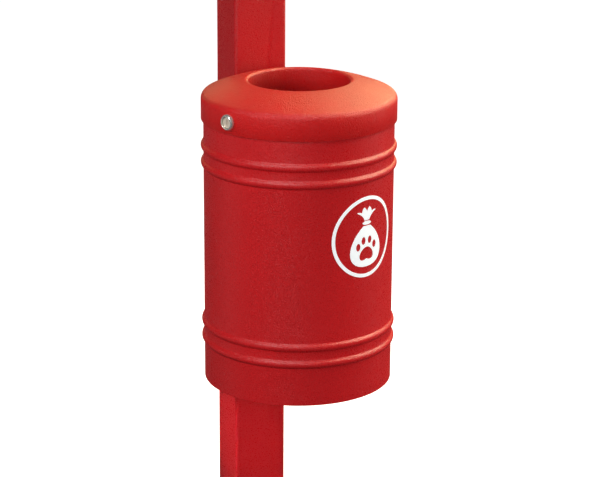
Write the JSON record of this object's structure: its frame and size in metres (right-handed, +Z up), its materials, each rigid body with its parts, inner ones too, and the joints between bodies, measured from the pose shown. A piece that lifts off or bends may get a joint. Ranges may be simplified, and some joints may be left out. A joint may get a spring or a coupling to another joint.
{
  "type": "dog waste bin",
  "caption": "Round post-mounted dog waste bin: beaded steel body, hinged domed lid with a round mouth and key lock, lift-out liner, square post on a base plate.",
  "frame": {"origin": "centre of the base plate's underside, on the post's axis, at ground level", "axes": "+Z up along the post; the bin hangs on the post's -Y side, so -Y is the front; +X is to the right seen from the front"},
  "size_m": [0.3381, 0.5405, 1.409],
  "materials": {
    "post_paint": "red polyester powder coat, semi-gloss, fine orange peel",
    "body_paint": "red polyester powder coat, semi-gloss, fine orange peel",
    "lid_paint": "red polyester powder coat, semi-gloss, fine orange peel",
    "hinge_paint": "red polyester powder coat over steel",
    "cap_plastic": "moulded red plastic",
    "fastener_zinc": "bright zinc plate",
    "hinge_steel": "stainless steel",
    "lock_nickel": "polished nickel plate",
    "plug_brass_nickel": "satin nickel-plated brass",
    "liner_galvanised": "spangled galvanised sheet",
    "buffer_rubber": "black rubber",
    "emblem_vinyl": "white self-adhesive vinyl"
  },
  "bodies": {
    "root": {"post": "post_paint", "post_cap": "cap_plastic", "base_plate": "post_paint", "base_gussets": "post_paint", "upper_saddle_bracket": "post_paint", "lower_saddle_bracket": "post_paint", "mounting_bolts": "fastener_zinc", "saddle_washers": "fastener_zinc", "spacer_sleeves": "fastener_zinc", "rivet_nuts": "fastener_zinc", "body_shell": "body_paint", "floor_pan": "body_paint", "rim_buffers": "buffer_rubber", "lock_catch": "body_paint", "hinge_body_leaf": "hinge_paint", "hinge_pin": "hinge_steel", "hinge_body_rivets": "hinge_steel", "emblem_ring": "emblem_vinyl", "emblem_pictogram": "emblem_vinyl"},
    "lid": {"lid_shell": "lid_paint", "mouth_collar": "lid_paint", "lid_rest_tabs": "lid_paint", "hinge_lid_leaf": "hinge_paint", "hinge_lid_rivets": "hinge_steel", "lock_barrel": "lock_nickel", "lock_nut": "fastener_zinc"},
    "lock_rotor": {"lock_plug": "plug_brass_nickel", "lock_cam": "fastener_zinc", "lock_cam_screw": "fastener_zinc"},
    "liner": {"liner_bucket": "liner_galvanised"}
  },
  "joints": [
    {"name": "lid_hinge", "type": "hinge", "parent": "root", "child": "lid", "pos_m": [0.16545, -0.19683, 1.0095], "axis": [-0.1736, 0.9848, 0], "range_deg": [0, 100]},
    {"name": "lock_turn", "type": "hinge", "parent": "lid", "child": "lock_rotor", "pos_m": [-0.1553, -0.29514, 1.034], "axis": [-0.9135, -0.4067, 0], "range_deg": [0, 90]},
    {"name": "liner_lift", "type": "slide", "parent": "root", "child": "liner", "axis": [0, 0, 1], "range_m": [0, 0.06]}
  ]
}
